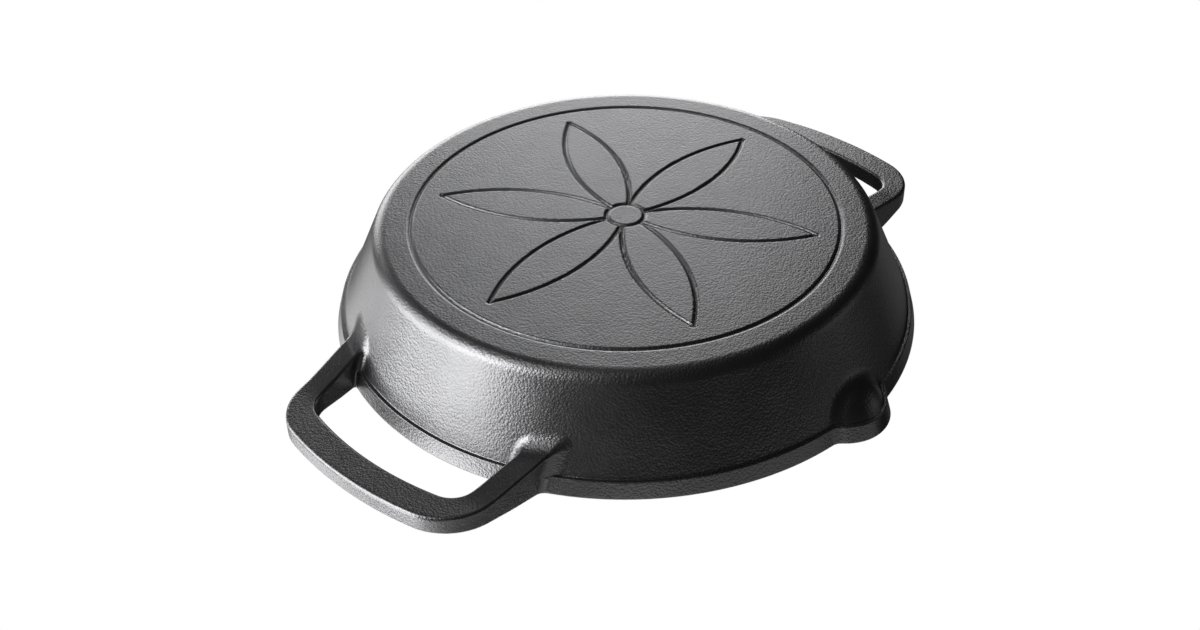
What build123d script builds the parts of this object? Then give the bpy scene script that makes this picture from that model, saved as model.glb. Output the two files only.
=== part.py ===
from build123d import *

import os
from math import asin, atan2, cos, degrees, hypot, radians, sin, tan

# A two-handled cast-iron skillet, standing on its base with the bowl open upwards, in millimetres.
# The origin is the middle of the base's underside. The handles lie along X and the two spouts along Y.
# The real pan is one casting, so the casting is made whole first and then divided where its forms meet.

# Bowl
rim_radius = 140.0  # to the outside of the rim band
pan_height = 49.9  # from the underside to the rim
wall_flare = 28.0  # how far the rim stands outside the flat of the base
base_edge_radius = 8.3  # round from the flat of the base to the wall
wall_thickness = 4.5
floor_thickness = 5.0
cavity_corner = 10.0  # round from the cooking floor to the inside of the wall

# Rim band, a thicker ring round the top of the wall
band_height = 8.35
band_lip = 0.5  # how far the band stands out from the wall's line at the rim
band_lean = 16.0  # degrees by which the band's side leans in from the rim down to the ledge
ledge_round = 0.5  # on the band's lower edge, over the ledge
rim_outer_round = 0.9
rim_inner_round = 1.5

# Pouring spouts, half balls let into the wall
spout_radius = 20.2
spout_setback = 13.0  # from the rim's outside in to the middle of the spout
spout_lip = 2.3  # how far the band stands outside the half ball
spout_wall_blend = 3.0  # round between the half ball and the wall
spout_band_blend = 6.0  # round in the band where it turns out to the spout
channel_blend = 2.5  # round between the pouring channel and the inside of the wall

# Handles, each a grip on two arms
handle_reach = 39.6  # from the rim band out to the far side of the grip
handle_span = 120.3  # over both arms, at the rim band
grip_width = 14.6
arm_width = 11.5
arm_flare = 7.0  # degrees by which each arm spreads towards the wall
handle_thickness = 8.3
handle_dip = 2.1  # how far the far side of the grip lies below the rim
arm_slope_start = 11.0  # from the rim band out to where the arms begin to deepen
arm_slope = 14.5  # degrees by which the underside of the arms falls towards the wall
arm_slope_round = 60.0
grip_corner = 27.0  # outside corner between grip and arm, in plan
opening_corner = 12.5  # corner of the finger opening, in plan
handle_edge_round = 1.5
root_blend = 5.0  # round between the arms and the wall
web_round = 2.0  # round in plan between the arms and the band
root_seat_depth = 2.2  # how deep each arm's root goes into the wall
root_outer_angle = 33.5  # degrees from X to the edge of a root outside its arms
root_inner_angle = 17.0  # degrees from X to the edge of a root between the arms
root_drop = 9.0  # how far the root reaches down the wall below the arm
spout_angle = 11.8  # degrees from Y to each side of a spout's piece

# Ornament on the underside, a rosette of six petals in a ring, cut as a groove
groove_width = 2.4
groove_depth = 1.0
ornament_margin = 11.0  # from the ring to the edge of the flat
ring_gap = 11.0  # from the ring to the tips of the petals
hub_radius = 9.0
petal_count = 6

# Sizes that follow from those above
base_radius = rim_radius - wall_flare
wall_top_radius = rim_radius - band_lip
ledge_height = pan_height - band_height
spout_centre = rim_radius - spout_setback
spout_lip_radius = spout_radius + spout_lip
spout_depth = spout_radius + spout_wall_blend
grip_outer_radius = rim_radius + handle_reach
grip_inner_radius = grip_outer_radius - grip_width
arm_slope_radius = rim_radius + arm_slope_start
underside = pan_height - handle_dip - handle_thickness
root_depth = pan_height - underside + (arm_slope_radius - base_radius) * tan(radians(arm_slope))
ring_radius = base_radius - ornament_margin
petal_radius = ring_radius - ring_gap
beyond = grip_outer_radius + root_depth  # well outside the pan
over_rim = pan_height + floor_thickness  # a little above the rim
under_rim = pan_height - spout_lip / 10  # a hair below the rim

# The wall's outside is the line from the rim that just touches the round of the base's edge.
wall_run = wall_top_radius - base_radius
wall_rise = pan_height - base_edge_radius
wall_lean = degrees(atan2(wall_rise, wall_run) + asin(base_edge_radius / hypot(wall_rise, wall_run)))
wall_foot_radius = base_radius + base_edge_radius * sin(radians(wall_lean))
wall_foot_height = base_edge_radius * (1 - cos(radians(wall_lean)))


def wall_radius(height, inset=0.0):
    """Radius of the wall's outside at a height, or of the line inset millimetres inside it."""
    along_wall = (pan_height - height) / tan(radians(wall_lean))
    return wall_top_radius - along_wall - inset / sin(radians(wall_lean))


def arm_line(x, inset=0.0):
    """Half the width over both arms at a distance along X, inset millimetres inside their outsides."""
    spread = (rim_radius - x) * tan(radians(arm_flare))
    return handle_span / 2 - inset / cos(radians(arm_flare)) + spread


def arm_corners(inset=0.0):
    """Corners of the tapering plan of a handle, from well inside the bowl to well outside the grip."""
    near, far = base_radius / 2, beyond
    half_near, half_far = arm_line(near, inset), arm_line(far, inset)
    return [(near, -half_near), (far, -half_far), (far, half_far), (near, half_near)]


def sector(angle, near, far):
    """Corners of a wedge of the plan that opens along X, between two distances along X."""
    spread = tan(radians(angle))
    return [(near, -near * spread), (far, -far * spread), (far, far * spread), (near, near * spread)]


# Handle bar: the plan of grip and arms, cut to the side view, with its lower edges rounded
with BuildPart() as handle_bar:
    with BuildSketch(Plane.XY.offset(pan_height)) as bar_plan:
        Circle(grip_outer_radius)
        Polygon(*arm_corners(), align=None, mode=Mode.INTERSECT)
        fillet(bar_plan.vertices().sort_by(Axis.X)[-2:], grip_corner)
        with BuildSketch(mode=Mode.PRIVATE) as opening_plan:
            Circle(grip_inner_radius)
            Polygon(*arm_corners(arm_width), align=None, mode=Mode.INTERSECT)
            fillet(opening_plan.vertices().sort_by(Axis.X)[-2:], opening_corner)
        add(opening_plan.sketch, mode=Mode.SUBTRACT)
    extrude(amount=-root_depth)
    with BuildSketch(Plane.XZ) as bar_side:
        Polygon(
            (base_radius, pan_height),
            (rim_radius, pan_height),
            (beyond, pan_height - (beyond - rim_radius) * handle_dip / handle_reach),
            (beyond, underside),
            (arm_slope_radius, underside),
            (base_radius, pan_height - root_depth),
            align=None,
        )
        bends = bar_side.vertices().sort_by(Axis.X)[2:4]
        fillet(bends, arm_slope_round)
    extrude(amount=handle_span, both=True, mode=Mode.INTERSECT)
    underneath = handle_bar.faces().filter_by(lambda f: f.normal_at().Z < -cos(radians(2 * arm_slope)))
    across_arms = handle_bar.edges().filter_by(Axis.Y).filter_by(lambda e: e.length < 2 * arm_width)
    fillet(underneath.edges() - across_arms, handle_edge_round)

# Body of the casting: a solid cone with half balls for the spouts and the two handles, blended together
with BuildPart() as solid_body:
    with BuildSketch(Plane.XZ) as body_profile:
        with BuildLine():
            flat = Line((0, 0), (base_radius, 0))
            edge_round = TangentArc(flat @ 1, (wall_foot_radius, wall_foot_height), tangent=flat % 1)
            wall_side = Line(edge_round @ 1, (wall_top_radius, pan_height))
            Polyline(wall_side @ 1, (0, pan_height), flat @ 0)
        make_face()
    revolve(axis=Axis.Z)
    with Locations((0, spout_centre, pan_height), (0, -spout_centre, pan_height)):
        Sphere(spout_radius, arc_size1=-90, arc_size2=0, align=(Align.CENTER, Align.CENTER, Align.MAX))
    spout_joins = solid_body.edges(Select.NEW).filter_by(lambda e: e.center().Z < under_rim)
    fillet(spout_joins, spout_wall_blend)
    for turn in (0, 180):
        add(handle_bar.part, rotation=(0, 0, turn))
        arm_joins = solid_body.edges(Select.NEW).filter_by(lambda e: e.center().Z < under_rim)
        fillet(arm_joins, root_blend)

# Strips of the two arms of a handle, in plan
with BuildSketch() as arm_strips:
    Polygon(*arm_corners(), align=None)
    Polygon(*arm_corners(arm_width), align=None, mode=Mode.SUBTRACT)
    Rectangle(2 * (rim_radius - web_round), 2 * beyond, mode=Mode.INTERSECT)

# Rim band with its two lips, before the bowl is hollowed. The arms' strips give it a round web at each arm.
with BuildPart() as band_ring:
    with BuildSketch(Plane.XY.offset(pan_height)) as band_plan:
        Circle(rim_radius)
        with Locations((0, spout_centre), (0, -spout_centre)):
            Circle(spout_lip_radius)
        lip_corners = band_plan.vertices().filter_by(lambda v: abs(v.X) > spout_lip_radius / 2)
        fillet(lip_corners, spout_band_blend)
        for turn in (0, 180):
            add(arm_strips.sketch, rotation=turn)
        beside_arms = band_plan.vertices().filter_by(lambda v: abs(v.X) > abs(v.Y))
        web_corners = beside_arms.filter_by(lambda v: hypot(v.X, v.Y) < rim_radius + web_round)
        fillet(web_corners, web_round)
    extrude(amount=-band_height, taper=band_lean)
    fillet(band_ring.edges().group_by(Axis.Z)[0], ledge_round)

# Hollow of the bowl with the two pouring channels
with BuildPart() as hollow:
    with BuildSketch(Plane.XZ) as hollow_profile:
        Polygon(
            (0, floor_thickness),
            (wall_radius(floor_thickness, wall_thickness), floor_thickness),
            (wall_radius(over_rim, wall_thickness), over_rim),
            (0, over_rim),
            align=None,
        )
        floor_corner = hollow_profile.vertices().group_by(Axis.Y)[0].sort_by(Axis.X)[-1]
        fillet(floor_corner, cavity_corner)
    revolve(axis=Axis.Z)
    with Locations((0, spout_centre, pan_height), (0, -spout_centre, pan_height)):
        Sphere(spout_radius - wall_thickness)

# Casting: body, band and hollow together, with every edge at the rim rounded
with BuildPart() as casting:
    add(solid_body.part)
    add(band_ring.part)
    add(hollow.part, mode=Mode.SUBTRACT)
    channel_faces = casting.faces(Select.LAST).filter_by(GeomType.SPHERE)
    fillet(channel_faces.edges().filter_by(lambda e: e.center().Z < under_rim), channel_blend)
    rim_face = casting.faces().sort_by(Axis.Z)[-1]
    bowl_opening = rim_face.inner_wires().sort_by(SortBy.LENGTH)[-1]
    fillet(bowl_opening.edges(), rim_inner_round)
    above_ledge = casting.faces().filter_by(lambda f: f.center().Z > ledge_height)
    top_faces = above_ledge.filter_by(lambda f: f.normal_at().Z > cos(radians(2 * arm_slope)))
    across_arms = top_faces.edges().filter_by(Axis.Y).filter_by(lambda e: e.length < 2 * arm_width)
    top_edges = top_faces.edges() - across_arms
    outside = top_edges.filter_by(lambda e: hypot((e @ 0.5).X, (e @ 0.5).Y) > rim_radius - rim_outer_round)
    fillet(outside, rim_outer_round)

# Ornament groove: a ring, a rosette of arcs that all point at the middle, and a small ring as its hub
with BuildSketch() as petal_arc:
    with Locations((petal_radius, 0)):
        Circle(petal_radius + groove_width / 2)
        Circle(petal_radius - groove_width / 2, mode=Mode.SUBTRACT)
    Circle(petal_radius, mode=Mode.INTERSECT)
    Circle(hub_radius, mode=Mode.SUBTRACT)

with BuildPart() as groove:
    with BuildSketch() as groove_plan:
        with PolarLocations(0, petal_count):
            add(petal_arc.sketch)
        for radius in (hub_radius, ring_radius):
            with BuildSketch(mode=Mode.PRIVATE) as groove_ring:
                Circle(radius + groove_width / 2)
                Circle(radius - groove_width / 2, mode=Mode.SUBTRACT)
            add(groove_ring.sketch)
    extrude(amount=groove_depth)

# Space of the base: everything inside the flat's edge
with BuildPart() as base_space:
    Cylinder(base_radius, pan_height, align=(Align.CENTER, Align.CENTER, Align.MIN))

# Space under the rim band
with BuildPart() as below_ledge:
    Cylinder(beyond, ledge_height, align=(Align.CENTER, Align.CENTER, Align.MIN))

# Space of one handle: a wedge round each arm and all of the grip, outside a seat cut a little into the wall
with BuildPart() as handle_space:
    with BuildSketch(Plane.XY.offset(pan_height - root_depth - root_drop)):
        Polygon(*sector(root_outer_angle, base_radius / 2, beyond), align=None)
        Polygon(*sector(root_inner_angle, base_radius / 3, arm_slope_radius), align=None, mode=Mode.SUBTRACT)
    extrude(amount=over_rim)
    with BuildSketch(Plane.XZ) as seat_profile:
        Polygon(
            (0, 0),
            (wall_radius(0, root_seat_depth), 0),
            (wall_radius(2 * over_rim, root_seat_depth), 2 * over_rim),
            (0, 2 * over_rim),
            align=None,
        )
    revolve(axis=Axis.Z, mode=Mode.SUBTRACT)

# Space of one spout: a wedge round the half ball and the turn of the band beside it
with BuildPart() as spout_space:
    with BuildSketch(Plane.XY.offset(pan_height - spout_depth)):
        Polygon(*sector(spout_angle, spout_centre - spout_lip_radius, beyond), rotation=90, align=None)
    extrude(amount=over_rim)

# Base, a disc with the ornament groove in its underside
with BuildPart() as base:
    add(casting.part)
    add(base_space.part, mode=Mode.INTERSECT)
    add(groove.part, mode=Mode.SUBTRACT)

# Wall, from the round of the base's edge up to the ledge under the band
with BuildPart() as wall:
    add(casting.part)
    add(below_ledge.part, mode=Mode.INTERSECT)
    add(base_space.part, mode=Mode.SUBTRACT)
    for turn in (0, 180):
        add(handle_space.part, rotation=(0, 0, turn), mode=Mode.SUBTRACT)
        add(spout_space.part, rotation=(0, 0, turn), mode=Mode.SUBTRACT)

# The whole band with the arms' roots and the spouts taken out, which leaves a left and a right half
with BuildPart() as bands:
    add(casting.part)
    add(below_ledge.part, mode=Mode.SUBTRACT)
    for turn in (0, 180):
        add(handle_space.part, rotation=(0, 0, turn), mode=Mode.SUBTRACT)
        add(spout_space.part, rotation=(0, 0, turn), mode=Mode.SUBTRACT)

with BuildPart() as band_left:
    add(bands.solids().sort_by(Axis.X)[0])

with BuildPart() as band_right:
    add(bands.solids().sort_by(Axis.X)[-1])

with BuildPart() as handle_right:
    add(casting.part)
    add(handle_space.part, mode=Mode.INTERSECT)

with BuildPart() as handle_left:
    add(casting.part)
    add(handle_space.part, rotation=(0, 0, 180), mode=Mode.INTERSECT)

with BuildPart() as spout_back:
    add(casting.part)
    add(spout_space.part, mode=Mode.INTERSECT)

with BuildPart() as spout_front:
    add(casting.part)
    add(spout_space.part, rotation=(0, 0, 180), mode=Mode.INTERSECT)

pieces = {
    "base": base,
    "wall": wall,
    "band_left": band_left,
    "band_right": band_right,
    "handle_left": handle_left,
    "handle_right": handle_right,
    "spout_front": spout_front,
    "spout_back": spout_back,
}
os.makedirs("parts", exist_ok=True)
for name, piece in pieces.items():
    piece.part.label = name
    export_step(piece.part, f"parts/{name}.step")
    print(name, len(piece.solids()), "solid", round(piece.part.volume / 1000, 2), "cm3")
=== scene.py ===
import bpy
import numpy as np
from mathutils import Matrix, Vector


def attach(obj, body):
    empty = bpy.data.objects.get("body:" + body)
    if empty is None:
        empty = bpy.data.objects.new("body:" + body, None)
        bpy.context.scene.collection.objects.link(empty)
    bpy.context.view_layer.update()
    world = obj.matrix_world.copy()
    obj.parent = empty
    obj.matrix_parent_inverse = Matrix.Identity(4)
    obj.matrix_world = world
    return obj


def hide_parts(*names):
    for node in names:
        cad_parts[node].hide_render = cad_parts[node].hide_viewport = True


# Two-handled cast-iron skillet. Shapes are worked out in millimetres and put into the meshes in metres.

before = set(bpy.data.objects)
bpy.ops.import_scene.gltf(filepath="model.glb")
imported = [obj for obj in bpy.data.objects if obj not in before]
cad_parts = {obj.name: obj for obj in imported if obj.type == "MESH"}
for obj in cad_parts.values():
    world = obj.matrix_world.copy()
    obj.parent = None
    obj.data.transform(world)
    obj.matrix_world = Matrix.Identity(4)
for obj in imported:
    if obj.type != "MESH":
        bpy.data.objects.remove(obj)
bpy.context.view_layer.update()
print("frame loaded")

pan = {
    "rimRadius": 140.0,  # to the outside of the rim band
    "height": 49.9,
    "flare": 28.0,  # how far the rim stands outside the flat of the base
    "baseRound": 8.3,
    "wall": 4.5,  # thickness
    "floor": 5.0,  # thickness
    "floorCorner": 10.0,  # round between the cooking floor and the wall
    "bandHeight": 8.35,  # from the ledge up to the rim
    "bandLip": 0.5,  # how far the rim stands outside the line of the wall
    "bandLean": 16.0,  # degrees by which the band's side leans in from the rim to the ledge
    "ledgeRound": 0.5,
    "rimRound": 0.9,
    "rimInnerRound": 1.5,
}
spout = {
    "radius": 20.2,  # of the half ball
    "centre": 127.0,  # from the middle of the pan
    "lipRadius": 22.5,  # of the band where it turns out round the ball
    "wallBlend": 3.0,
    "bandBlend": 6.0,
    "channelBlend": 2.5,
    "window": 11.8,  # degrees each side that belong to the spout's own piece
}
bowlGrid = {
    "narrow": (12, 0.2),  # degrees each side of a spout, and between columns there
    "wide": 0.5,  # degrees between the other columns
    "coneTop": 24.0,  # up to this height the outside is the plain cone of the wall
    "coneInside": 22.0,  # and up to this one the inside is
    "eye": (118.0, 8.0),  # radius, and height over the rim, of the point from which the inside is measured
    "search": (2.0, 70.0),  # distances from pivot or eye between which the surface lies
    "flatSearch": (60.0, 190.0),  # radii between which the flat of the rim ends on the inside
    "ledgeShares": (0.25, 0.6),  # where the rows between wall and ledge round lie
    "flatShares": (0.33, 0.67, 1.0),  # and those on the flat of the rim
}
rowsOn = {  # points on each part of the bowl's section, with both ends
    "footRound": 11,
    "cone": 13,
    "outside": 31,
    "ledgeRound": 7,
    "bandSide": 6,
    "rimRound": 10,
    "innerTop": 14,
    "innerSide": 22,
    "innerCone": 8,
    "floorCorner": 10,
}

rimR, topZ = pan["rimRadius"], pan["height"]
baseR = rimR - pan["flare"]
wallTopR = rimR - pan["bandLip"]
ledgeZ = topZ - pan["bandHeight"]
run, rise = wallTopR - baseR, topZ - pan["baseRound"]
lean = np.arctan2(rise, run) + np.arcsin(pan["baseRound"] / np.hypot(rise, run))
sinL, cosL = np.sin(lean), np.cos(lean)


# Numpy helpers
def roundJoin(a, b, r):
    # union of two solids given by signed distances, with a concave round of radius r in the joint
    return np.maximum(r, np.minimum(a, b)) - np.hypot(np.maximum(r - a, 0), np.maximum(r - b, 0))


def roundEdge(a, b, r):
    # intersection of two solids given by signed distances, with a convex round of radius r on the edge
    return np.minimum(-r, np.maximum(a, b)) + np.hypot(np.maximum(r + a, 0), np.maximum(r + b, 0))


def halve(f, inside, outside, steps=44):
    # root of f between two arrays, where f is below 0 at inside and above 0 at outside
    for _ in range(steps):
        middle = 0.5 * (inside + outside)
        below = f(middle) < 0
        inside, outside = np.where(below, middle, inside), np.where(below, outside, middle)
    return 0.5 * (inside + outside)


def unit(v):
    # vectors divided by their lengths
    return v / np.maximum(np.linalg.norm(v, axis=-1, keepdims=True), 1e-12)


def gridNormals(points, wrap):
    # cross product of the two central differences of a grid; wrap closes the second direction
    down = np.gradient(points, axis=0)
    if wrap:
        along = np.roll(points, -1, axis=1) - np.roll(points, 1, axis=1)
    else:
        along = np.gradient(points, axis=1)
    return unit(np.cross(along, down))


def gridFaces(rows, columns, wrap):
    # four corners of every cell of a grid of vertices numbered row by row
    number = np.arange(rows * columns).reshape(rows, columns)
    if wrap:
        number = np.concatenate([number, number[:, :1]], axis=1)
    return np.stack([number[:-1, :-1], number[:-1, 1:], number[1:, 1:], number[1:, :-1]], axis=-1)


def addPiece(name, points, normals, quads, fans=()):
    # a mesh of the used vertices only, in metres, wound so that its faces look along the normals
    quads = quads.reshape(-1, 4)
    loops = [quads.ravel()] + [np.asarray(fan).ravel() for fan in fans]
    used, index = np.unique(np.concatenate(loops), return_inverse=True)
    corners = len(quads) * 4
    xyz, nrm = points[used] / 1000.0, normals[used]
    four, three = index[:corners].reshape(-1, 4), index[corners:].reshape(-1, 3)
    side = np.cross(xyz[four[:, 2]] - xyz[four[:, 0]], xyz[four[:, 3]] - xyz[four[:, 1]])
    if np.sum(side * nrm[four[:, 0]]) < 0:
        four, three = four[:, ::-1], three[:, ::-1]
    mesh = bpy.data.meshes.new(name)
    mesh.vertices.add(len(used))
    mesh.vertices.foreach_set("co", xyz.astype(np.float32).ravel())
    mesh.loops.add(corners + three.size)
    mesh.loops.foreach_set("vertex_index", np.concatenate([four.ravel(), three.ravel()]).astype(np.int32))
    mesh.polygons.add(len(four) + len(three))
    starts = np.concatenate([np.arange(len(four)) * 4, corners + np.arange(len(three)) * 3])
    mesh.polygons.foreach_set("loop_start", starts.astype(np.int32))
    mesh.polygons.foreach_set("use_smooth", np.ones(len(starts), dtype=bool))
    mesh.update(calc_edges=True)
    mesh.validate()
    mesh.normals_split_custom_set_from_vertices(nrm.tolist())
    piece = bpy.data.objects.new(name, mesh)
    bpy.context.scene.collection.objects.link(piece)
    return piece


# Sections of the bowl
def wallRadius(z, inset=0.0):
    # radius of the cone of the wall at height z, or of the line inset millimetres inside it
    return wallTopR - (topZ - z) * cosL / sinL - inset / sinL


def wallSide(r, z, inset=0.0):
    # signed distance from the cone of the wall, or of the line inset millimetres inside it
    return (r - wallTopR) * sinL - (z - topZ) * cosL + inset


def ballSide(r, turn, z, radius):
    # signed distance from the ball of the nearer spout; turn is the angle from that spout
    across, out = r * np.sin(turn), r * np.cos(turn) - spout["centre"]
    return np.sqrt(across**2 + out**2 + (z - topZ) ** 2) - radius


def outerSide(r, turn, z):
    # signed distance from the outside: cone and ball joined with a concave round
    return roundJoin(wallSide(r, z), ballSide(r, turn, z, spout["radius"]), spout["wallBlend"])


def cavitySide(r, turn, z):
    # signed distance from the hollow: the same two forms moved in by the thickness of the wall
    ball = ballSide(r, turn, z, spout["radius"] - pan["wall"])
    return roundJoin(wallSide(r, z, pan["wall"]), ball, spout["channelBlend"])


def bandOutline(angle):
    # rim circle, two lips and the four rounds between them: radius along each angle, and the plan normal.
    # A round's middle (cx, cy) lies a round's radius outside both circles.
    up = np.abs(np.sin(angle))
    turn = np.arccos(np.clip(up, -1, 1))
    lipR, c, r = spout["lipRadius"], spout["centre"], spout["bandBlend"]
    cy = ((rimR + r) ** 2 - (lipR + r) ** 2 + c**2) / (2 * c)
    cx = np.sqrt((rimR + r) ** 2 - cy**2)
    onRim = np.arctan2(cx, cy)
    onLip = np.arctan2(cx * lipR / (lipR + r), c + (cy - c) * lipR / (lipR + r))
    sx, sy = np.sin(turn), np.cos(turn)
    lip = c * sy + np.sqrt(np.maximum(lipR**2 - (c * sx) ** 2, 0))
    dot = cx * sx + cy * sy
    turnOut = dot - np.sqrt(np.maximum(dot**2 - (cx**2 + cy**2 - r**2), 0))
    radius = np.where(turn < onLip, lip, np.where(turn < onRim, turnOut, rimR))
    x, y = radius * sx, radius * sy
    nx = np.where(turn < onLip, x / lipR, np.where(turn < onRim, (cx - x) / r, sx))
    ny = np.where(turn < onLip, (y - c) / lipR, np.where(turn < onRim, (cy - y) / r, sy))
    signX, signY = np.sign(np.cos(angle)), np.sign(np.sin(angle))
    normal = unit(np.stack([nx * signX, ny * signY], axis=-1))
    return radius, normal


# One grid for the whole bowl: columns go round the pan, rows from the base over the rim to the cooking floor
nearHalf, nearStep = bowlGrid["narrow"]
near = np.radians(np.arange(-nearHalf, nearHalf, nearStep))
far = np.radians(np.arange(nearHalf, 180 - nearHalf, bowlGrid["wide"]))
columns = np.concatenate([near - np.pi / 2, far - np.pi / 2, near + np.pi / 2, far + np.pi / 2])
turn = np.arccos(np.clip(np.abs(np.sin(columns)), -1, 1))
plan = np.stack([np.cos(columns), np.sin(columns)], axis=-1)
outlineR, outlineN = bandOutline(columns)
rows, marks = [], {}


def addRows(r, z):
    # rows of points at radius r and height z along every column
    r, z = np.broadcast_arrays(r, z)
    rows.append(np.concatenate([r[..., None] * plan, z[..., None]], axis=-1))


def offsetRows(inset, z):
    # rows at height z on the rim's outline moved in by the inset along its plan normal
    ring = (outlineR[:, None] * plan)[None] - inset[:, None, None] * outlineN[None]
    rows.append(np.concatenate([ring, np.broadcast_to(z[:, None, None], ring.shape[:2] + (1,))], axis=-1))


def rowCount():
    # rows laid so far
    return sum(len(block) for block in rows)


# Foot round and the plain cone above it
one = np.ones_like(columns)
coneTop = bowlGrid["coneTop"]
arc = np.linspace(0, lean, rowsOn["footRound"])[:, None]
addRows((baseR + pan["baseRound"] * np.sin(arc)) * one, pan["baseRound"] * (1 - np.cos(arc)) * one)
footZ = pan["baseRound"] * (1 - cosL)
z = np.linspace(footZ, coneTop, rowsOn["cone"])[1:, None]
addRows(wallRadius(z) * one, z * one)
marks["spoutLow"] = rowCount() - 1

# Outside of the wall up to the ledge, on rays from the middle of the spout's ball, with the ball blended in
nearest, farthest = bowlGrid["search"]
pivotR = spout["centre"] * np.cos(np.minimum(turn, np.radians(nearHalf)))
ledgeR = halve(lambda r: outerSide(r, turn, ledgeZ), pivotR, pivotR + farthest)
low = np.arctan2(coneTop - topZ, wallRadius(coneTop) - pivotR)
high = np.arctan2(ledgeZ - topZ, ledgeR - pivotR)
step = np.linspace(0, 1, rowsOn["outside"])[1:, None]
ray = low + (high - low) * step


def outsideAt(t):
    # signed distance from the outside at distance t along the rays
    return outerSide(pivotR + t * np.cos(ray), turn, topZ + t * np.sin(ray))


reach = halve(outsideAt, 0 * ray + nearest, 0 * ray + farthest)
addRows(pivotR + reach * np.cos(ray), topZ + reach * np.sin(ray))
marks["ledge"] = rowCount() - 1

# Ledge, edge round, leaning side and rim round of the band: insets from the outline of the rim
bandLean = np.radians(pan["bandLean"])
ledgeRound, rimRound = pan["ledgeRound"], pan["rimRound"]
ledgeMid = (pan["bandHeight"] - ledgeRound) * np.tan(bandLean) + ledgeRound / np.cos(bandLean)
rimMid = rimRound * np.tan(bandLean) + rimRound / np.cos(bandLean)
wallEdge = rows[-1][-1]
ledgeEdge = np.concatenate([outlineR[:, None] * plan - ledgeMid * outlineN, wallEdge[:, 2:]], axis=-1)
share = np.array(bowlGrid["ledgeShares"])[:, None, None]
rows.append(wallEdge * (1 - share) + ledgeEdge * share)
arc = np.linspace(-np.pi / 2, -bandLean, rowsOn["ledgeRound"])
offsetRows(ledgeMid - ledgeRound * np.cos(arc), ledgeZ + ledgeRound + ledgeRound * np.sin(arc))
sideTop = topZ - rimRound - rimRound * np.sin(bandLean)
sideFoot = ledgeZ + ledgeRound - ledgeRound * np.sin(bandLean)
z = np.linspace(sideFoot, sideTop, rowsOn["bandSide"])[1:-1]
offsetRows((topZ - z) * np.tan(bandLean), z)
arc = np.linspace(-bandLean, np.pi / 2, rowsOn["rimRound"])
offsetRows(rimMid - rimRound * np.cos(arc), topZ - rimRound + rimRound * np.sin(arc))
marks["rimFlat"] = rowCount() - 1

# Flat of the rim, then its inner round and the inside of the wall with the pouring channels
searchFrom, searchTo = bowlGrid["flatSearch"]
flatR = halve(lambda r: cavitySide(r, turn, topZ) - pan["rimInnerRound"], one * searchFrom, one * searchTo)
flatEdge = np.concatenate([flatR[:, None] * plan, topZ * one[:, None]], axis=-1)
share = np.array(bowlGrid["flatShares"])[:, None, None]
rows.append(rows[-1][-1] * (1 - share) + flatEdge * share)
marks["flatEnd"] = rowCount()
eyeR, eyeZ = bowlGrid["eye"][0], topZ + bowlGrid["eye"][1]
innerLow = bowlGrid["coneInside"]
low = np.arctan2(innerLow - eyeZ, wallRadius(innerLow, pan["wall"]) - eyeR)
high = np.arctan2(topZ - eyeZ, flatR - eyeR)
topShare = 0.3  # share of the angle that has the closer rows of the inner round
step = [np.linspace(0, topShare, rowsOn["innerTop"])[1:], np.linspace(topShare, 1, rowsOn["innerSide"])[1:]]
step = np.concatenate(step)[:, None]
ray = high + (low - high) * step


def ironSide(t):
    # signed distance from the iron at distance t along the rays, with the rim's inner edge rounded
    r, z = eyeR + t * np.cos(ray), eyeZ + t * np.sin(ray)
    return roundEdge(-cavitySide(r, turn, z), z - topZ, pan["rimInnerRound"])


reach = halve(ironSide, 0 * ray + farthest, 0 * ray + nearest)
addRows(eyeR + reach * np.cos(ray), eyeZ + reach * np.sin(ray))
marks["innerLow"] = rowCount() - 1
corner = pan["floorCorner"]
cornerR = wallRadius(pan["floor"], pan["wall"]) - corner * np.tan(lean / 2)
cornerZ = pan["floor"] + corner
tangentZ = cornerZ - corner * cosL
z = np.linspace(innerLow, tangentZ, rowsOn["innerCone"])[1:, None]
addRows(wallRadius(z, pan["wall"]) * one, z * one)
arc = np.linspace(lean, 0, rowsOn["floorCorner"])[1:, None]
addRows((cornerR + corner * np.sin(arc)) * one, (cornerZ - corner * np.cos(arc)) * one)

bowl = np.concatenate(rows)
bowlNormals = gridNormals(bowl, True)
if np.sum(bowlNormals[marks["spoutLow"], :, :2] * plan) < 0:  # a row on the outside, which faces outwards
    bowlNormals *= -1
bowlNormals[0] = (0, 0, -1)
bowlNormals[-1] = (0, 0, 1)
bowlNormals[marks["rimFlat"]:marks["flatEnd"]] = (0, 0, 1)

# Each face goes to the piece in whose region it lies
faces = gridFaces(len(bowl), len(columns), True)
rowOf = np.arange(len(bowl) - 1)[:, None]
middle = columns + 0.5 * (np.roll(columns, -1) - columns) % (2 * np.pi)
faceTurn = np.degrees(np.arccos(np.clip(np.abs(np.sin(middle)), -1, 1)))[None]
inSpout = (faceTurn < spout["window"]) & (rowOf >= marks["spoutLow"]) & (rowOf < marks["innerLow"])
faceZ = bowl[:-1, :, 2]
isBand = (rowOf >= marks["ledge"]) & ~((rowOf > marks["rimFlat"]) & (faceZ < ledgeZ)) & ~inSpout
isWall = ~isBand & ~inSpout
right = np.cos(middle)[None] > 0
front = np.sin(middle)[None] < 0
flatPoints, flatNormals = bowl.reshape(-1, 3), bowlNormals.reshape(-1, 3)
regions = {
    "wall": isWall,
    "band_right": isBand & right,
    "band_left": isBand & ~right,
    "spout_front": inSpout & front,
    "spout_back": inSpout & ~front,
}
skins = {}
for node, region in regions.items():
    skins[node] = addPiece(node + "_skin", flatPoints, flatNormals, faces[region])
print("bowl made:", len(bowl), "rows,", len(columns), "columns")


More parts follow.
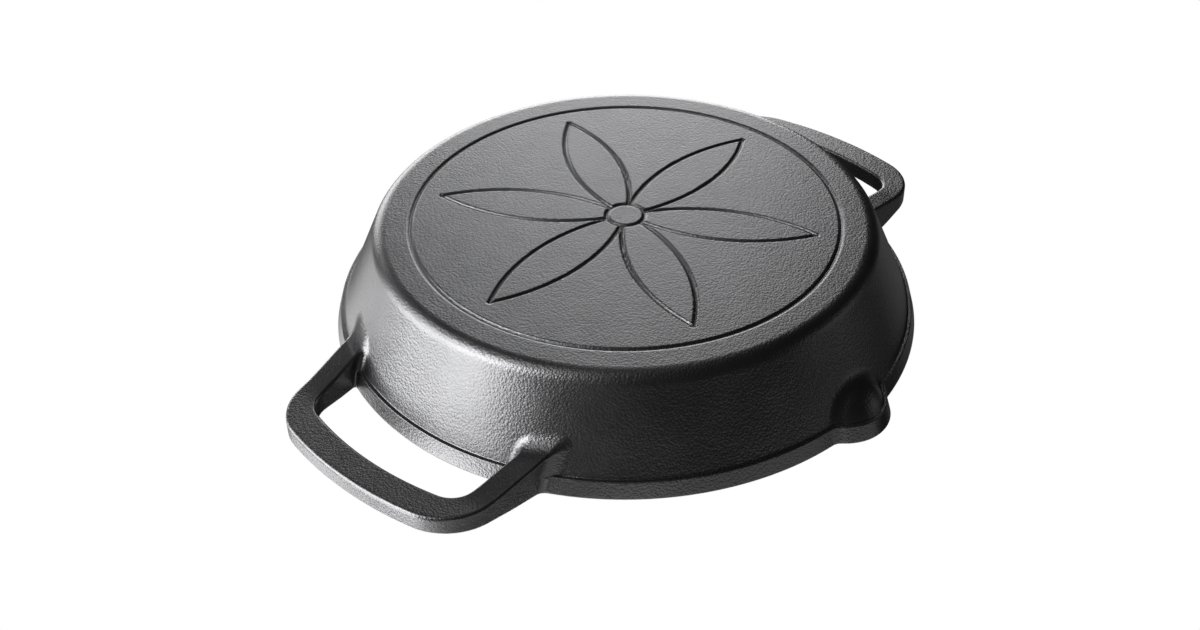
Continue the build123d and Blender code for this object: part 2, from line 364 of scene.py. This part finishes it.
# Base: underside with the groove ornament, and the cooking floor
ornament = {
    "ring": 101.0,  # radius
    "petal": 90.0,  # length of a petal, and radius of its arcs
    "hub": 9.0,  # radius
    "petals": 6,
    "halfWidth": 1.45,
    "depth": 1.0,
    "gridCount": 300,  # vertices across the underside
    "slopeStep": 0.08,  # each side, for the slope of the groove
}
floorRings = (80.0, 50.0, 20.0)  # radii of the rings of vertices on the cooking floor


def grooveLine(x, y):
    # distance to the nearest centre line: two rings and the arcs of circles through the middle
    petal, hub = ornament["petal"], ornament["hub"]
    r = np.hypot(x, y)
    closest = np.minimum(np.abs(r - ornament["ring"]), np.abs(r - hub))
    past = np.maximum(np.maximum(r - petal, hub - r), 0)  # how far a point lies past an arc's ends
    for k in range(ornament["petals"]):
        angle = 2 * np.pi * k / ornament["petals"]
        off = np.hypot(x - petal * np.cos(angle), y - petal * np.sin(angle)) - petal
        closest = np.minimum(closest, np.hypot(off, past))
    return closest


def grooveHeight(x, y):
    # depth falls from the centre line to the sides as a raised cosine
    t = np.clip(grooveLine(x, y) / ornament["halfWidth"], 0, 1)
    return ornament["depth"] * 0.5 * (1 + np.cos(np.pi * t))


def roundGrid(radius, count):
    # square grid laid on a disc: squares go to rings, with cells of nearly equal size
    a, b = np.meshgrid(np.linspace(-1, 1, count), np.linspace(-1, 1, count), indexing="ij")
    wide = np.abs(a) > np.abs(b)
    r = np.where(wide, a, b)
    safe = np.where(r == 0, 1, r)
    angle = np.where(wide, np.pi / 4 * b / safe, np.pi / 2 - np.pi / 4 * a / safe)
    return radius * r * np.cos(angle), radius * r * np.sin(angle)


count, h = ornament["gridCount"], ornament["slopeStep"]
x, y = roundGrid(baseR, count)
slopeX = (grooveHeight(x + h, y) - grooveHeight(x - h, y)) / (2 * h)
slopeY = (grooveHeight(x, y + h) - grooveHeight(x, y - h)) / (2 * h)
under = np.stack([x, y, grooveHeight(x, y)], axis=-1).reshape(-1, 3)
underN = unit(np.stack([slopeX, slopeY, -np.ones_like(x)], axis=-1)).reshape(-1, 3)
skins["base"] = addPiece("base_skin", under, underN, gridFaces(count, count, False))

rings = np.array([cornerR, *floorRings])[:, None, None]
levelZ = np.full((len(rings), len(columns), 1), pan["floor"])
floorTop = np.concatenate([rings * plan[None], levelZ], axis=-1).reshape(-1, 3)
hubVertex = len(floorTop)
floorTop = np.concatenate([floorTop, [[0, 0, pan["floor"]]]])
last = np.arange(hubVertex - len(columns), hubVertex)
fan = np.stack([last, np.roll(last, -1), np.full_like(last, hubVertex)], axis=-1)
floorNormals = np.tile([[0.0, 0.0, 1.0]], (len(floorTop), 1))
floorFaces = gridFaces(len(rings), len(columns), True)
cookingFloor = addPiece("floor_skin", floorTop, floorNormals, floorFaces, [fan])
print("base made")


# Handles: a section carried from one root over the grip to the other, with rounds that run into the wall
handle = {
    "reach": 39.6,  # from the rim to the far side of the grip
    "span": 120.3,  # over both arms, at the rim
    "grip": 14.6,  # width
    "arm": 11.5,  # width
    "flare": 7.0,  # degrees by which an arm turns in towards the grip
    "thickness": 8.3,
    "dip": 2.1,  # how far the far side of the grip lies below the rim
    "slopeStart": 11.0,  # from the rim to the bend in the underside
    "slope": 14.5,  # degrees
    "bend": 60.0,  # radius of the bends in underside and top
    "gripCorner": 27.0,
    "openingCorner": 12.5,
    "edgeRound": 1.5,
    "rootBlend": 5.0,  # round between arm and wall
    "bandBlend": 2.0,  # round between arm and band
}
handleGrid = {
    "stations": (14, 26, 40),  # on the arm's line, the corner and half the grip
    "round": 8,  # points on the top and on the lower round
    "ledgeRound": 6,
    "bandSide": 9,
    "flat": 9,  # across top and underside
    "blend": 15,  # rings of the blend into the body
    "arm": 7,  # rings between the blend and the stations
    "seam": (0.01, 0.06),  # how far the thin strip's two edges lie under the ledge
    "lowShares": (0.3, 0.65),  # where the columns between strip and lower round lie
    "straightFrom": 148.0,  # x outside which the plan curves are followed, and inside it the arm's own lines
    "rootSearch": (90.0, 160.0),  # x between which the roots lie
    "turnBy": 0.8,  # radians of the blend over which the ledge's round opens
    "proud": 0.02,  # how far the root's edge stands out of the body
    "tuck": (0.5, 0.6),  # how far the last, hidden ring runs on, and into the body
}
flare, slope = np.radians(handle["flare"]), np.radians(handle["slope"])
sideN = np.array([np.sin(flare), np.cos(flare)])
sideT = np.array([np.cos(flare), -np.sin(flare)])
lineC = handle["span"] / 2 * np.cos(flare) + rimR * np.sin(flare)
outR = rimR + handle["reach"]
inR = outR - handle["grip"]
botRound, topRound = handle["edgeRound"], pan["rimRound"]


def bentFall(s, grade):
    # fall at s past a bend: nothing before it, a round of the bend's radius, then an even grade
    half = handle["bend"] * np.tan(np.arctan(grade) / 2)
    return grade * np.where(s > half, s, np.where(s < -half, 0, (s + half) ** 2 / (4 * half)))


def underZ(x):
    # height of the handle's underside: level under the grip, sloping down towards the wall
    gripZ = topZ - handle["dip"] - handle["thickness"]
    return gripZ - bentFall(rimR + handle["slopeStart"] - x, np.tan(slope))


def overZ(x):
    # height of the handle's top, which dips from the rim towards the grip
    return topZ - bentFall(x - rimR, handle["dip"] / handle["reach"])


def sideCurve(inset, cornerRadius, gripRadius, start, counts):
    # arm line, corner arc and half of the grip arc: points and outward plan normals. The corner's middle
    # lies a corner's radius inside the line and inside the grip's circle.
    c = lineC - inset
    along = np.sqrt((gripRadius - cornerRadius) ** 2 - (c - cornerRadius) ** 2)
    centre = (c - cornerRadius) * sideN + along * sideT
    lineEnd = centre + cornerRadius * sideN
    startS = (start - c * sideN[0]) / sideT[0]
    endS = lineEnd @ sideT
    s = np.linspace(startS, endS, counts[0])[:-1]
    linePts = c * sideN + s[:, None] * sideT
    a0 = np.arctan2(sideN[1], sideN[0])
    a1 = np.arctan2(centre[1], centre[0])
    a = np.linspace(a0, a1, counts[1])
    arcN = np.stack([np.cos(a), np.sin(a)], axis=-1)
    arcPts = centre + cornerRadius * arcN
    g = np.linspace(a1, 0, counts[2])[1:]
    gripN = np.stack([np.cos(g), np.sin(g)], axis=-1)
    points = np.concatenate([linePts, arcPts, gripRadius * gripN])
    normals = np.concatenate([np.tile(sideN, (len(linePts), 1)), arcN, gripN])
    return points, normals


rootX, counts = handleGrid["straightFrom"], handleGrid["stations"]
outP, outN = sideCurve(0.0, handle["gripCorner"], outR, rootX, counts)
inP, inN = sideCurve(handle["arm"], handle["openingCorner"], inR, rootX, counts)
inN = -inN

# Loop round the section. Columns on a side, from the top down: top round, band side, ledge round, a thin
# strip that becomes the ledge at the root, the rest of the side, and the lower round.
quarter = np.linspace(0, np.pi / 2, handleGrid["round"])
ledgeArc = np.linspace(-bandLean, -np.pi / 2, handleGrid["ledgeRound"])
bandZ = np.linspace(sideTop, sideFoot, handleGrid["bandSide"])[:-1]
ledgeZs = ledgeZ + ledgeRound + ledgeRound * np.sin(ledgeArc)
seamZ = ledgeZ - np.array(handleGrid["seam"])
lowSide = np.array(handleGrid["lowShares"])
flats = np.linspace(0, 1, handleGrid["flat"])[1:-1]
groups = [len(quarter), len(bandZ), len(ledgeZs), len(seamZ), len(lowSide), len(quarter)]
topKind, bandKind, ledgeKind, seamKind, lowKind, footKind = range(6)
sideKind = np.repeat(np.arange(6), groups)
sideInset = np.zeros(len(sideKind))
sideInset[sideKind == topKind] = topRound * (1 - np.sin(quarter))
sideInset[sideKind == footKind] = botRound * (1 - np.cos(quarter))
topDrop, footLift = topRound * (1 - np.cos(quarter)), botRound * (1 - np.sin(quarter))
sideValue = np.concatenate([-topDrop, bandZ, ledgeZs, seamZ, lowSide, footLift])
sideTilt = np.zeros(len(sideKind))
sideTilt[sideKind == topKind] = np.pi / 2 - quarter
sideTilt[sideKind == footKind] = -quarter
nSide, nFlat = len(sideInset), len(flats)


def columnHeight(x):
    # height of the side columns at x: rounds hang from the top or stand on the underside, the strip stays
    # under the ledge, and the rest is spread evenly between
    foot, head = underZ(x) + botRound, overZ(x)
    z = ledgeZ + (sideValue - ledgeZ) * (head - topRound - ledgeZ) / (topZ - topRound - ledgeZ)
    z = np.where(sideKind == topKind, head + sideValue, z)
    z = np.where(sideKind == seamKind, sideValue, z)
    z = np.where(sideKind == lowKind, seamZ[-1] + (foot - seamZ[-1]) * sideValue, z)
    return np.where(sideKind == footKind, underZ(x) + sideValue, z)


def sideBlock(points, normals):
    # side columns at every station: the plan curve moved in by the inset
    xy = points[:, None, :] - sideInset[None, :, None] * normals[:, None, :]
    return np.concatenate([xy, columnHeight(xy[..., 0])[..., None]], axis=-1)


inner = sideBlock(inP, inN)
outer = sideBlock(outP, outN)


def flatBlock(a, b):
    # columns evenly spaced between the two edges a and b
    return a[:, None, :] * (1 - flats[None, :, None]) + b[:, None, :] * flats[None, :, None]


# The loop goes down the inner side, under, up the outer side and back over the top
bottom = flatBlock(inner[:, -1], outer[:, -1])
bottom[..., 2] = underZ(bottom[..., 0])
gripRows = np.concatenate([inner, bottom, outer[:, ::-1], flatBlock(outer[:, 0], inner[:, 0])], axis=1)

# Root: each column runs on along the arm to where the blend begins, then out over the blend on to the body
body = 2 * nSide + nFlat


def bothSides(side, under):
    # a value of every column round the loop: down the inner side, under, and up the outer side
    return np.concatenate([side, np.full(nFlat, under), side[::-1]])


kind = bothSides(sideKind, footKind)
tilt = bothSides(sideTilt, -np.pi / 2)
inset = bothSides(sideInset, 0.0)
way = np.concatenate([-np.ones(nSide), np.zeros(nFlat), np.ones(nSide)])
onTop, onLedge = (kind == topKind) & (inset > 0), kind == ledgeKind
onBand = kind <= ledgeKind
level = np.where(onTop, 0.0, tilt)
outward = np.stack([way * np.cos(level) * sideN[0], way * np.cos(level) * sideN[1], np.sin(level)], axis=-1)
ledgeTilt = np.zeros(nSide)
ledgeTilt[sideKind == ledgeKind] = ledgeArc
ledgeTilt = bothSides(ledgeTilt, 0.0)
blend = np.where(onBand, handle["bandBlend"], handle["rootBlend"])
# Line of the body that each column meets: a radius at the rim's height and a normal, of the wall or the band
topR, ledgeSideR = rimR - rimMid + rimRound, rimR - ledgeMid + ledgeRound
faceR = np.select([kind == topKind, onLedge, onBand], [topR, ledgeSideR, rimR], wallTopR)
faceN = np.where(kind == bandKind, np.cos(bandLean), np.where(onBand, 1.0, sinL))
faceD = np.where(kind == bandKind, -np.sin(bandLean), np.where(onBand, 0.0, -cosL))


def armPoint(x):
    # point of every root column at its own x, on the straight part of the arm
    lineIn, lineOut = lineC - handle["arm"], lineC
    high, highOut = columnHeight(x[..., :nSide]), columnHeight(x[..., -nSide:][..., ::-1])[..., ::-1]
    yIn = (lineIn + sideInset - x[..., :nSide] * sideN[0]) / sideN[1]
    yOut = (lineOut - sideInset[::-1] - x[..., -nSide:] * sideN[0]) / sideN[1]
    mid = x[..., nSide:nSide + nFlat]
    yA = (lineIn + botRound - mid * sideN[0]) / sideN[1]
    yB = (lineOut - botRound - mid * sideN[0]) / sideN[1]
    y = np.concatenate([yIn, yA + (yB - yA) * flats, yOut], axis=-1)
    return np.stack([x, y, np.concatenate([high, underZ(mid), highOut], axis=-1)], axis=-1)


def rootRow(phi):
    # ring of the blend at angle phi: distance a from the arm and b from the body lie on one circle,
    # drawn in where the rim's or the ledge's round has drawn the outline in
    opened = np.minimum(1, phi / handleGrid["turnBy"])
    ledgeIn = np.where(onLedge, ledgeRound * (1 - np.cos(ledgeTilt)) * opened, 0)
    drawn = np.where(onTop, inset, ledgeIn)
    a = blend - (blend + drawn) * np.cos(phi)
    b = blend - (blend + drawn) * np.sin(phi)
    shift = (a + np.where(onTop, inset, 0))[:, None] * outward

    def bodySide(x):
        # signed distance from the body's line, less the b that the circle asks for
        p = armPoint(x) + shift
        return (np.hypot(p[..., 0], p[..., 1]) - faceR) * faceN + (p[..., 2] - topZ) * faceD - b

    rootFrom, rootTo = handleGrid["rootSearch"]
    x = halve(bodySide, 0 * a + rootFrom, 0 * a + rootTo)
    return armPoint(x) + shift, x


phis = np.linspace(0, np.pi / 2, handleGrid["blend"])
ringRows, ringX = (np.stack(part) for part in zip(*[rootRow(phi) for phi in phis]))
share = np.linspace(0, 1, handleGrid["arm"])[1:-1, None]
armRows = armPoint(rootX * (1 - share) + ringX[:1] * share)
ringNormals = []
for phi, ring in zip(phis, ringRows):
    radial = unit(ring[:, :2])
    face = np.concatenate([radial * faceN[:, None], faceD[:, None]], axis=-1)
    lift = np.where(onTop, tilt, ledgeTilt * np.minimum(1, phi / handleGrid["turnBy"]))[:, None]
    mixed = unit(outward * np.cos(phi) + face * np.sin(phi))
    ringNormals.append(unit(mixed * np.cos(lift) + np.array([0, 0, 1.0]) * np.sin(lift)))
ringNormals = np.stack(ringNormals)
seamAt = list(sideKind).index(seamKind)
seam = [seamAt, body - 1 - seamAt]
swing = np.minimum(1, phis / handleGrid["turnBy"])[:, None, None]  # the strip turns down to be the ledge
ringNormals[:, seam] = unit(ringNormals[:, seam] * (1 - swing) + np.array([0, 0, -1.0]) * swing)
proud = (handleGrid["proud"] * np.linspace(0, 1, len(phis)))[:, None, None]
ringRows = ringRows + proud * ringNormals
ringRows[..., 2] = np.minimum(ringRows[..., 2], topZ)
runOn, sink = handleGrid["tuck"]
hidden = ringRows[-1] + runOn * outward - sink * ringNormals[-1]


def topCap(ring, share):
    # top columns between the two top edges, drawn to the flat of the rim as share goes to 1
    a, b = ring[-1], ring[0]
    line = a + (b - a) * flats[:, None]
    angA, angB = np.arctan2(a[1], a[0]), np.arctan2(b[1], b[0])
    ang = angA + (angB - angA) * flats
    curve = np.stack([(rimR - rimMid) * np.cos(ang), (rimR - rimMid) * np.sin(ang), 0 * ang + topZ], axis=-1)
    return line * (1 - share) + curve * share


capRows = np.stack([topCap(ring, k**2) for ring, k in zip(ringRows, np.linspace(0, 1, len(phis)))])
armCaps = np.stack([flatBlock(row[-1][None], row[0][None])[0] for row in armRows])
hiddenCap = capRows[-1] - np.array([0, 0, sink])
rootRows = np.concatenate([
    np.concatenate([hidden[None], ringRows[::-1], armRows[::-1]]),
    np.concatenate([hiddenCap[None], capRows[::-1], armCaps[::-1]]),
], axis=1)
half = np.concatenate([rootRows, gripRows])
nRing, nRoot = len(phis), len(rootRows)
halfNormals = gridNormals(half, True)
fromAxis = half - half.mean(axis=1, keepdims=True)
if np.sum(halfNormals[nRoot:] * fromAxis[nRoot:]) < 0:
    halfNormals *= -1

# Exact normals where they're known: upright sides, the ring of the blend and the flat of the rim
upright = (sideKind >= bandKind) & (sideKind <= lowKind)
flat3 = np.array([sideN[0], sideN[1], 0])
planIn = np.concatenate([np.tile(-flat3, (nRoot, 1)), np.concatenate([inN, 0 * inN[:, :1]], axis=-1)])
planOut = np.concatenate([np.tile(flat3, (nRoot, 1)), np.concatenate([outN, 0 * outN[:, :1]], axis=-1)])
halfNormals[:, :nSide][:, upright] = planIn[:, None]
halfNormals[:, body - nSide:body][:, upright[::-1]] = planOut[:, None]
halfNormals[1:1 + nRing, :body] = ringNormals[::-1]
halfNormals[0, :body] = ringNormals[-1]
halfNormals[:1 + nRing, body:] = (0, 0, 1)

# The other half is the mirror image, and a fan closes each end inside the body
mirror = np.array([1, -1, 1])
whole = np.concatenate([half, (half[::-1] * mirror)[1:]])
wholeN = np.concatenate([halfNormals, (halfNormals[::-1] * mirror)[1:]])
nRows, nLoop = whole.shape[:2]
ends = np.stack([whole[0].mean(axis=0), whole[-1].mean(axis=0)])
points = np.concatenate([whole.reshape(-1, 3), ends])
normals = np.concatenate([wholeN.reshape(-1, 3), [[-1.0, 0, 0], [-1.0, 0, 0]]])
ringA = np.arange(nLoop)
ringB = (nRows - 1) * nLoop + np.arange(nLoop)
fans = [
    np.stack([ringA, np.full(nLoop, nRows * nLoop), np.roll(ringA, -1)], axis=-1)[:, ::-1],
    np.stack([ringB, np.full(nLoop, nRows * nLoop + 1), np.roll(ringB, -1)], axis=-1),
]
quads = gridFaces(nRows, nLoop, True)
halfTurn = np.array([-1, -1, 1])
skins["handle_right"] = addPiece("handle_right_skin", points, normals, quads, fans)
skins["handle_left"] = addPiece("handle_left_skin", points * halfTurn, normals * halfTurn, quads, fans)
print("handles made:", nRows, "rows,", nLoop, "columns")


# Iron: a black seasoned casting with a fine pebbled skin
iron = {  # sizes in metres
    "colour": (0.15, 0.15, 0.154),
    "colourSpread": 0.07,  # share by which blotches are darker or lighter
    "roughness": 0.34,
    "roughnessSpread": 0.03,
    "pebble": 0.0011,  # across one pebble
    "pebbleHeight": 0.0001,
    "grain": 0.0006,
    "grainHeight": 0.00003,
    "blotch": 0.017,
    "blotchRange": (0.3, 0.7),  # of the noise, over which the colour changes
}


def ironMaterial(name):
    # round pebbles with a finer grain on them, as left by the sand mould, and faint blotches of seasoning
    material = bpy.data.materials.new(name)
    material.use_nodes = True
    nodes, links = material.node_tree.nodes, material.node_tree.links
    shader = nodes["Principled BSDF"]
    shader.inputs["Metallic"].default_value = 1.0
    place = nodes.new("ShaderNodeTexCoord")
    pebbles = nodes.new("ShaderNodeTexVoronoi")
    pebbles.inputs["Scale"].default_value = 1.0 / iron["pebble"]
    links.new(place.outputs["Object"], pebbles.inputs["Vector"])
    pebbleBump = nodes.new("ShaderNodeBump")
    pebbleBump.invert = True
    pebbleBump.inputs["Distance"].default_value = iron["pebbleHeight"]
    links.new(pebbles.outputs["Distance"], pebbleBump.inputs["Height"])
    grain = nodes.new("ShaderNodeTexNoise")
    grain.inputs["Scale"].default_value = 1.0 / iron["grain"]
    grain.inputs["Detail"].default_value = 1.0
    links.new(place.outputs["Object"], grain.inputs["Vector"])
    grainBump = nodes.new("ShaderNodeBump")
    grainBump.inputs["Distance"].default_value = iron["grainHeight"]
    links.new(grain.outputs["Fac"], grainBump.inputs["Height"])
    links.new(pebbleBump.outputs["Normal"], grainBump.inputs["Normal"])
    links.new(grainBump.outputs["Normal"], shader.inputs["Normal"])
    blotch = nodes.new("ShaderNodeTexNoise")
    blotch.inputs["Scale"].default_value = 1.0 / iron["blotch"]
    blotch.inputs["Detail"].default_value = 3.0
    links.new(place.outputs["Object"], blotch.inputs["Vector"])
    tone = nodes.new("ShaderNodeValToRGB")
    spread = iron["colourSpread"]
    for stop, position, share in zip(tone.color_ramp.elements, iron["blotchRange"], (1 - spread, 1 + spread)):
        stop.position = position
        stop.color = (*[share * c for c in iron["colour"]], 1)
    links.new(blotch.outputs["Fac"], tone.inputs["Fac"])
    links.new(tone.outputs["Color"], shader.inputs["Base Color"])
    gloss = nodes.new("ShaderNodeMapRange")
    gloss.inputs["To Min"].default_value = iron["roughness"] - iron["roughnessSpread"]
    gloss.inputs["To Max"].default_value = iron["roughness"] + iron["roughnessSpread"]
    links.new(blotch.outputs["Fac"], gloss.inputs["Value"])
    links.new(gloss.outputs["Result"], shader.inputs["Roughness"])
    return material


ironSkin = ironMaterial("seasonedIron")
skins["floor"] = cookingFloor
for node, piece in skins.items():
    piece.data.materials.append(ironSkin)
    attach(piece, "root")
    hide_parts("base" if node == "floor" else node)
print("iron put on", len(skins), "pieces")

# Studio: directions are in degrees, azimuth from +X towards +Y, elevation above the floor. The lamps stand in
# for those of the photograph, in which the pan lies upside down, and are named by their places in it: left,
# front, right or back, from high over its table down to the table's own shine.
studio = {
    "aim": (0.0, 0.0, 0.025),  # the point that every lamp faces, in metres
    "distance": 1.2,
    "size": (0.64, 0.55),  # across and up
    "narrowest": 0.35,  # share of the width that a steep lamp keeps
    "lamps": {  # azimuth, elevation, radiance
        "leftLevel": (48.7, -6, 6.9),
        "leftFrontLevel": (18.7, -6, 5.4),
        "leftFrontHigh": (18.7, -30, 9.0),
        "leftFrontTop": (18.7, -56, 1.8),
        "leftFrontTable": (18.7, 22, 7.0),
        "leftHigh": (48.7, -30, 3.2),
        "backLevel": (138.7, -6, 4.3),
        "backLeftLevel": (108.7, -6, 4.2),
        "backHigh": (138.7, -30, 1.7),
        "backTop": (138.7, -56, 0.5),
        "backLeftTable": (78.7, 22, 2.0),
        "frontTable": (-41.3, 22, 0.7),
        "frontRightTable": (-71.3, 22, 0.45),
        "rightTable": (-101.3, 22, 0.4),
        "rightBackLevel": (-131.3, -6, 0.24),
        "zenith": (0.0, -88, 0.25),
        "leftLow": (57.0, 42, 3.2),
        "leftFrontLow": (12.0, 42, 2.1),
        "frontLeftLow": (-12.0, 42, 1.1),
        "rightBackTable": (-176.3, 22, 0.12),
    },
    "farHandle": "handle_left",  # the lamps in the next line don't reach it
    "shaded": ("leftFrontTable", "backLeftTable", "leftLow", "leftFrontLow", "frontLeftLow"),
    "overhead": {"size": 1.4, "height": 1.5, "radiance": 1.3},  # lights the floor and the bowl from above
}


def direction(azimuth, elevation):
    # unit vector: cosines and sines of the two angles
    a, e = np.radians(azimuth), np.radians(elevation)
    return Vector((np.cos(a) * np.cos(e), np.sin(a) * np.cos(e), np.sin(e)))


def addLamp(name, width, height, radiance):
    # area lamp in the scene; its power is pi times its area times its radiance
    data = bpy.data.lights.new(name, "AREA")
    data.shape = "RECTANGLE"
    data.size, data.size_y = width, height
    data.energy = radiance * np.pi * width * height
    light = bpy.data.objects.new(name, data)
    bpy.context.scene.collection.objects.link(light)
    return light


def addSurround(name, points, quads, material):
    # plain mesh for the surroundings, from points in metres
    mesh = bpy.data.meshes.new(name)
    mesh.from_pydata(points, [], quads)
    mesh.materials.append(material)
    surround = bpy.data.objects.new(name, mesh)
    bpy.context.scene.collection.objects.link(surround)
    return surround


def plainMaterial(name, colour):
    # matt material with no shine of its own, with its tree and its shader's sockets
    material = bpy.data.materials.new(name)
    material.use_nodes = True
    inputs = material.node_tree.nodes["Principled BSDF"].inputs
    inputs["Base Color"].default_value = (*colour, 1)
    inputs["Roughness"].default_value = 0.9
    inputs["Specular IOR Level"].default_value = 0.0
    return material, material.node_tree, inputs


panOnly = bpy.data.collections.new("panOnly")  # what the lamps of the photograph light, and not the floor
panNear = bpy.data.collections.new("panNear")  # the same without the far handle, whose table lies in shadow
for node, piece in skins.items():
    panOnly.objects.link(piece)
    if node != studio["farHandle"]:
        panNear.objects.link(piece)
for name, (azimuth, elevation, radiance) in studio["lamps"].items():
    towards = direction(azimuth, elevation)
    across = Vector((0, 0, 1)).cross(towards).normalized()  # the lamp's first side lies level
    width = studio["size"][0] * max(np.cos(np.radians(elevation)), studio["narrowest"])
    light = addLamp(name, width, studio["size"][1], radiance)
    light.matrix_world = Matrix((across, towards.cross(across), towards)).transposed().to_4x4()
    light.matrix_world.translation = Vector(studio["aim"]) + towards * studio["distance"]
    light.light_linking.receiver_collection = panNear if name in studio["shaded"] else panOnly
overhead = studio["overhead"]
light = addLamp("overhead", overhead["size"], overhead["size"], overhead["radiance"])
light.location = (0, 0, overhead["height"])

# Black tent behind the lamps, open at the top, so that the iron reflects the lamps and not the white world
tent = {
    "radius": 2.0,
    "from": -89.9,  # degrees of elevation, as the next
    "to": 60.0,
    "rings": 40,
    "sides": 72,
    "glow": 0.02,
}
steps = np.radians(np.linspace(tent["from"], tent["to"], tent["rings"]))
tall, about = np.meshgrid(steps, np.linspace(0, 2 * np.pi, tent["sides"] + 1), indexing="ij")
ball = np.stack([np.cos(tall) * np.cos(about), np.cos(tall) * np.sin(about), np.sin(tall)], axis=-1)
tentPoints = (ball * tent["radius"]).reshape(-1, 3).tolist()
tentFaces = gridFaces(tent["rings"], tent["sides"] + 1, False).reshape(-1, 4).tolist()
blackCloth, _, inputs = plainMaterial("blackCloth", (0, 0, 0))
inputs["Emission Color"].default_value = (1, 1, 1, 1)
inputs["Emission Strength"].default_value = tent["glow"]
tentObject = addSurround("studioTent", tentPoints, tentFaces, blackCloth)
for kindOfRay in ("camera", "diffuse", "shadow", "transmission"):
    setattr(tentObject, "visible_" + kindOfRay, False)

# World: white where the camera or a reflection looks past everything, and dimmer as light on the floor
backdrop = {"white": 1.0, "dim": 0.85}
world = bpy.data.worlds.new("studioWorld")
bpy.context.scene.world = world
world.use_nodes = True
nodes, links = world.node_tree.nodes, world.node_tree.links
nodes.clear()
path = nodes.new("ShaderNodeLightPath")
looks = path.outputs["Is Camera Ray"]
for kindOfRay in ("Is Glossy Ray", "Is Transmission Ray"):
    either = nodes.new("ShaderNodeMath")
    either.operation = "MAXIMUM"
    links.new(looks, either.inputs[0])
    links.new(path.outputs[kindOfRay], either.inputs[1])
    looks = either.outputs[0]
mix, out = nodes.new("ShaderNodeMixShader"), nodes.new("ShaderNodeOutputWorld")
links.new(looks, mix.inputs["Fac"])
for slot, level in ((1, backdrop["dim"]), (2, backdrop["white"])):
    background = nodes.new("ShaderNodeBackground")
    background.inputs["Color"].default_value = (level, level, level, 1)
    links.new(background.outputs[0], mix.inputs[slot])
links.new(mix.outputs[0], out.inputs["Surface"])

# Floor under the pan, seen only from above, so that the view from below looks on to the base
floor = {
    "colour": (0.82, 0.82, 0.82),
    "halfWidth": 40.0,
    "below": 0.0002,  # under the pan's base
}
signs = [(-1, -1), (1, -1), (1, 1), (-1, 1)]
floorPoints = [(a * floor["halfWidth"], b * floor["halfWidth"], -floor["below"]) for a, b in signs]
paper, tree, inputs = plainMaterial("palePaper", floor["colour"])
nodes, links = tree.nodes, tree.links
face, clear = nodes.new("ShaderNodeNewGeometry"), nodes.new("ShaderNodeBsdfTransparent")
pick = nodes.new("ShaderNodeMixShader")
links.new(face.outputs["Backfacing"], pick.inputs["Fac"])
links.new(nodes["Principled BSDF"].outputs[0], pick.inputs[1])
links.new(clear.outputs[0], pick.inputs[2])
links.new(pick.outputs[0], nodes["Material Output"].inputs["Surface"])
floorObject = addSurround("studioFloor", floorPoints, [(0, 1, 2, 3)], paper)
for kindOfRay in ("diffuse", "glossy", "shadow"):
    setattr(floorObject, "visible_" + kindOfRay, False)
print("studio set")

# Camera at the photograph's angle, from below because the pan is stored upright and photographed upside down
view = {
    "tip": 37.03,  # degrees below the floor plane
    "azimuth": -131.341,  # degrees, turn of the handles in the photograph
    "roll": -0.374,  # degrees
    "distance": 743.415,  # millimetres from the middle of the rim
    "frameWidth": 1200,  # pixels, for the two values below
    "focalPixels": 1514.368,
    "shiftPixels": (26.1, -15.8),
    "sensor": 36.0,  # millimetres across
    "clipStart": 0.01,  # metres
}
tip, spin, roll = (np.radians(view[k]) for k in ("tip", "azimuth", "roll"))
backWay = np.array([0, -np.cos(tip), np.sin(tip)])
rightWay = np.array([1.0, 0, 0])
upWay = np.cross(rightWay, -backWay)
rightR = rightWay * np.cos(roll) + upWay * np.sin(roll)
upR = -rightWay * np.sin(roll) + upWay * np.cos(roll)
# From the photograph's frame, in which the pan lies on its rim, to the part's
toPart = np.array([[np.cos(spin), np.sin(spin), 0], [np.sin(spin), -np.cos(spin), 0], [0, 0, -1.0]])
spot = toPart @ (backWay * view["distance"]) + np.array([0, 0, topZ])
axes = np.stack([toPart @ rightR, toPart @ upR, toPart @ backWay], axis=1)
cameraData = bpy.data.cameras.new("camera")
cameraData.sensor_width = view["sensor"]
cameraData.lens = view["focalPixels"] / view["frameWidth"] * view["sensor"]
cameraData.shift_x = -view["shiftPixels"][0] / view["frameWidth"]
cameraData.shift_y = view["shiftPixels"][1] / view["frameWidth"]
cameraData.clip_start = view["clipStart"]
camera = bpy.data.objects.new("camera", cameraData)
matrix = np.eye(4)
matrix[:3, :3] = axes
matrix[:3, 3] = spot / 1000
camera.matrix_world = Matrix(matrix.tolist())
bpy.context.scene.collection.objects.link(camera)
bpy.context.scene.camera = camera
bpy.context.scene.view_settings.view_transform = "Standard"
